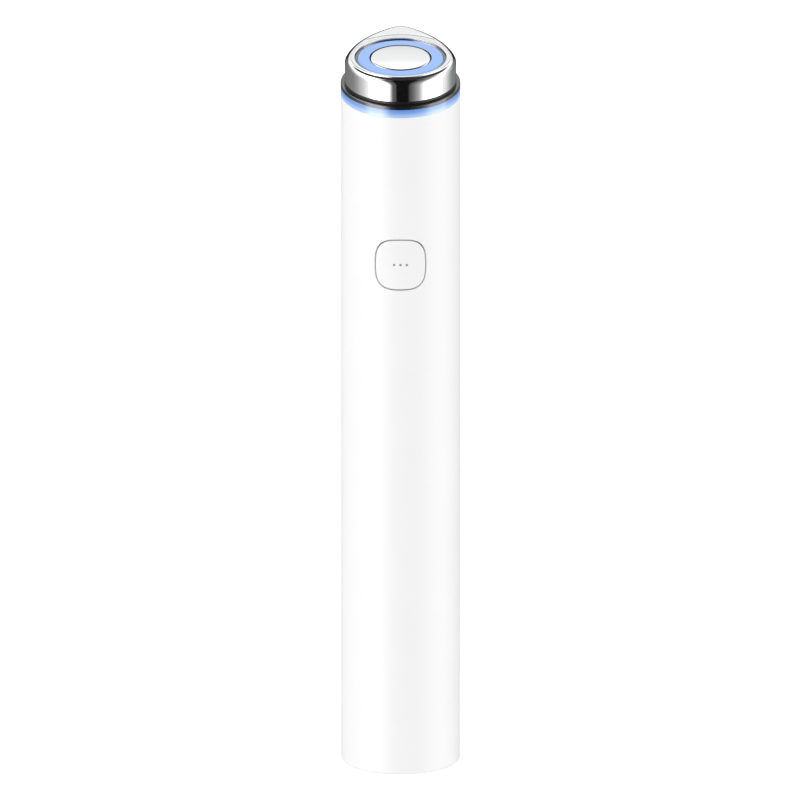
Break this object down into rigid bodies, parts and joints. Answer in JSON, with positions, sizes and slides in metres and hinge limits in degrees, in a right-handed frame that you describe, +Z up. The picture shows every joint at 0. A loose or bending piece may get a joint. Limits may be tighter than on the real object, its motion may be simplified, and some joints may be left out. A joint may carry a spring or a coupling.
{
  "type": "facial toning device",
  "caption": "Slim white facial toning wand with one button, a slanted chrome electrode head with a drop-shaped top, a lit ring window and a lit collar.",
  "frame": {"origin": "centre of the flat base, on the tube's axis", "axes": "+Z up along the tube, the button faces -Y, the drop's tip points to +Y"},
  "size_m": [0.024, 0.0277, 0.1491],
  "materials": {
    "white_plastic": "fine satin moulded plastic",
    "grey_plastic": "moulded, matt",
    "black_plastic": "moulded, satin black",
    "lit_collar": "frosted translucent, lit blue",
    "lit_ring": "frosted translucent, lit blue",
    "clear_plastic": "frosted clear",
    "white_reflector": "smooth white",
    "chrome": "polished chrome plate",
    "bright_steel": "bright stainless steel",
    "screw_steel": "zinc-plated steel",
    "contact_gold": "gold plate",
    "circuit_board": "green solder mask",
    "chip_black": "moulded package",
    "component_tan": "ceramic package",
    "lamp": "clear lens",
    "cell_wrap": "shrink wrap",
    "foam": "closed-cell foam",
    "seal_rubber": "silicone rubber",
    "lead_insulation": "silicone insulation",
    "flex_orange": "polyimide film",
    "motor_steel": "drawn steel",
    "weight_alloy": "sintered tungsten alloy"
  },
  "bodies": {
    "root": {"body_shell": "white_plastic", "end_cap": "white_plastic", "end_cap_seal": "seal_rubber", "usb_shell": "bright_steel", "usb_tongue": "black_plastic", "usb_board": "circuit_board", "charge_chip": "chip_black", "usb_screws": "screw_steel", "inner_frame": "grey_plastic", "battery_cell": "cell_wrap", "battery_tabs": "bright_steel", "battery_foam": "foam", "battery_leads": "lead_insulation", "charge_leads": "lead_insulation", "main_board": "circuit_board", "board_screws": "screw_steel", "controller_chip": "chip_black", "boost_coil": "chip_black", "board_components": "component_tan", "tact_switch": "bright_steel", "indicator_leds": "lamp", "motor_can": "motor_steel", "motor_boot": "seal_rubber", "motor_leads": "lead_insulation", "head_base": "white_plastic", "head_seal": "seal_rubber", "light_collar": "lit_collar", "collar_board": "circuit_board", "collar_leds": "lamp", "trim_ring": "chrome", "head_core": "black_plastic", "electrode_shell": "chrome", "ring_window": "lit_ring", "window_gasket": "seal_rubber", "reflector_ring": "white_reflector", "centre_electrode": "chrome", "centre_screw": "screw_steel", "head_board": "circuit_board", "ring_leds": "lamp", "shell_contact": "contact_gold", "head_screws": "screw_steel", "ribbon_cable": "flex_orange"},
    "button": {"power_button": "white_plastic", "button_light_guide": "clear_plastic", "switch_plunger": "chip_black"},
    "rotor": {"motor_shaft": "motor_steel", "motor_weight": "weight_alloy"}
  },
  "joints": [
    {"name": "button_press", "type": "slide", "parent": "root", "child": "button", "axis": [0, 1, 0], "range_m": [0, 0.0004], "stiffness_N_per_m": 4000},
    {"name": "motor_spin", "type": "hinge", "parent": "root", "child": "rotor", "pos_m": [0, 0.0042, 0.1236], "axis": [0, 0, 1], "continuous": true}
  ]
}
